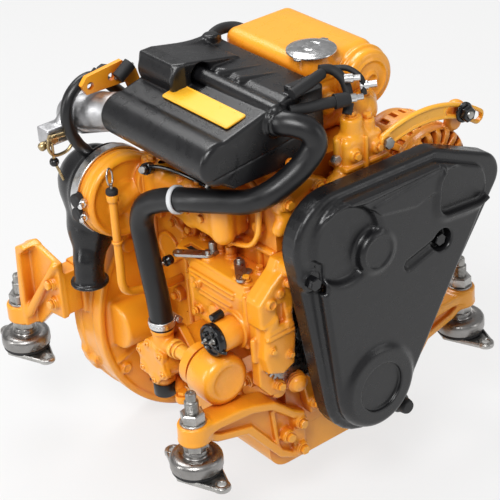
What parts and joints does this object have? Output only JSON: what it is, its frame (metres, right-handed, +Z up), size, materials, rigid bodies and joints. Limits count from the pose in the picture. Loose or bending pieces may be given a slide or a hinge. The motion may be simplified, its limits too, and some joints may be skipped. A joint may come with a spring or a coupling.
{
  "type": "marine diesel engine",
  "caption": "Small inboard marine diesel engine without gearbox, on flexible mounts, with belt cover, air silencer, header tank and wet exhaust elbow.",
  "frame": {"origin": "crankshaft axis on the rear face of the flywheel housing", "axes": "+Y along the crankshaft towards the gearbox, +Z up along the cylinders, +X towards the alternator"},
  "size_m": [0.4649, 0.482, 0.5263],
  "materials": {
    "enamel": "glossy orange-yellow engine enamel over castings",
    "black_plastic": "satin black, fine texture",
    "rubber": "smooth black rubber",
    "badge_yellow": "plain yellow plate",
    "zinc_steel": "zinc-plated steel",
    "machined_steel": "machined steel",
    "cast_iron": "dark cast iron",
    "aluminium": "cast aluminium"
  },
  "bodies": {
    "engine": {"crankcase": "enamel", "cylinder_head": "enamel", "rocker_cover": "enamel", "sump": "enamel", "injection_lines": "zinc_steel", "timing_case": "enamel", "governor_housing": "enamel", "flywheel_housing": "enamel", "front_bracket_left": "enamel", "front_bracket_right": "enamel", "rear_bracket_left": "enamel", "rear_bracket_right": "enamel", "mount_bases": "zinc_steel", "mount_rubbers": "rubber", "mount_domes": "zinc_steel", "mount_studs": "zinc_steel", "mount_nuts": "zinc_steel", "belt_cover": "black_plastic", "cover_bolts": "zinc_steel", "drive_belt": "rubber", "coolant_pump": "enamel", "thermostat_housing": "enamel", "adjusting_strap": "enamel", "alternator_pivot": "enamel", "starter": "aluminium", "air_silencer": "black_plastic", "badge_plate": "badge_yellow", "intake_manifold": "enamel", "intake_elbow": "aluminium", "exhaust_manifold": "enamel", "header_tank": "enamel", "exhaust_drum": "enamel", "exhaust_elbow": "black_plastic", "elbow_clamp": "zinc_steel", "raw_water_pump": "enamel", "breather_hose": "rubber", "oil_filter": "enamel", "stop_solenoid": "black_plastic", "raw_water_hose": "rubber", "hose_clamps": "zinc_steel", "dipstick_tube": "enamel", "lifting_eye": "enamel"},
    "crank": {"crankshaft": "cast_iron", "flywheel": "machined_steel", "crank_gear": "machined_steel", "crank_pulley": "black_plastic"},
    "cam": {"camshaft": "cast_iron", "cam_gear": "machined_steel"},
    "coolant_rotor": {"pump_rotor": "cast_iron"},
    "alternator_body": {"alternator": "aluminium"},
    "alternator_spindle": {"alternator_rotor": "cast_iron"},
    "raw_water_rotor": {"raw_water_impeller": "rubber"},
    "front_piston": {"piston_front": "machined_steel"},
    "rear_piston": {"piston_rear": "machined_steel"},
    "coolant_cap": {"filler_cap": "zinc_steel"},
    "oil_cap": {"oil_filler_cap": "black_plastic"},
    "dipstick_rod": {"dipstick": "zinc_steel"},
    "speed_arm": {"speed_lever": "zinc_steel"},
    "stop_arm": {"stop_lever": "zinc_steel"},
    "pinion": {"starter_pinion": "machined_steel"}
  },
  "joints": [
    {"name": "crank_spin", "type": "hinge", "parent": "engine", "child": "crank", "pos_m": [0, 0, 0], "axis": [0, 1, 0], "continuous": true},
    {"name": "cam_spin", "type": "hinge", "parent": "engine", "child": "cam", "pos_m": [-0.057, 0, 0.06965], "axis": [0, 1, 0], "continuous": true},
    {"name": "coolant_pump_spin", "type": "hinge", "parent": "engine", "child": "coolant_rotor", "pos_m": [-0.03, -0.334, 0.2], "axis": [0, 1, 0], "continuous": true},
    {"name": "alternator_swing", "type": "hinge", "parent": "engine", "child": "alternator_body", "pos_m": [0.11, -0.263, 0.128], "axis": [0, 1, 0], "range_deg": [-3, 0], "deforming": ["drive_belt"]},
    {"name": "alternator_spin", "type": "hinge", "parent": "alternator_body", "child": "alternator_spindle", "pos_m": [0.136, -0.334, 0.2], "axis": [0, 1, 0], "continuous": true},
    {"name": "raw_water_spin", "type": "hinge", "parent": "engine", "child": "raw_water_rotor", "pos_m": [-0.15, -0.16, 0.01], "axis": [1, 0, 0], "continuous": true},
    {"name": "front_piston_slide", "type": "slide", "parent": "engine", "child": "front_piston", "axis": [0, 0, 1], "range_m": [0, 0.07]},
    {"name": "rear_piston_slide", "type": "slide", "parent": "engine", "child": "rear_piston", "axis": [0, 0, 1], "range_m": [-0.07, 0]},
    {"name": "coolant_cap_turn", "type": "hinge", "parent": "engine", "child": "coolant_cap", "pos_m": [0.034, -0.232, 0.35], "axis": [0, 0, 1], "range_deg": [0, 90]},
    {"name": "oil_cap_turn", "type": "hinge", "parent": "engine", "child": "oil_cap", "pos_m": [0.03, -0.084, 0.26], "axis": [0, 0, 1], "range_deg": [0, 90]},
    {"name": "dipstick_slide", "type": "slide", "parent": "engine", "child": "dipstick_rod", "axis": [0, 0, 1], "range_m": [0, 0.11]},
    {"name": "speed_lever_turn", "type": "hinge", "parent": "engine", "child": "speed_arm", "pos_m": [-0.092, -0.244, 0.14], "axis": [0, 0, 1], "range_deg": [-25, 15]},
    {"name": "stop_lever_turn", "type": "hinge", "parent": "engine", "child": "stop_arm", "pos_m": [-0.106, -0.206, 0.14], "axis": [0, 0, 1], "range_deg": [0, 35]},
    {"name": "starter_pinion_slide", "type": "slide", "parent": "engine", "child": "pinion", "axis": [0, 1, 0], "range_m": [0, 0.005]}
  ],
  "couplings": [
    {"joint": "cam_spin", "follows": "crank_spin", "ratio": -0.5},
    {"joint": "coolant_pump_spin", "follows": "crank_spin", "ratio": 1.5625},
    {"joint": "alternator_spin", "follows": "crank_spin", "ratio": 1.8519},
    {"joint": "raw_water_spin", "follows": "crank_spin", "ratio": 0.5}
  ]
}
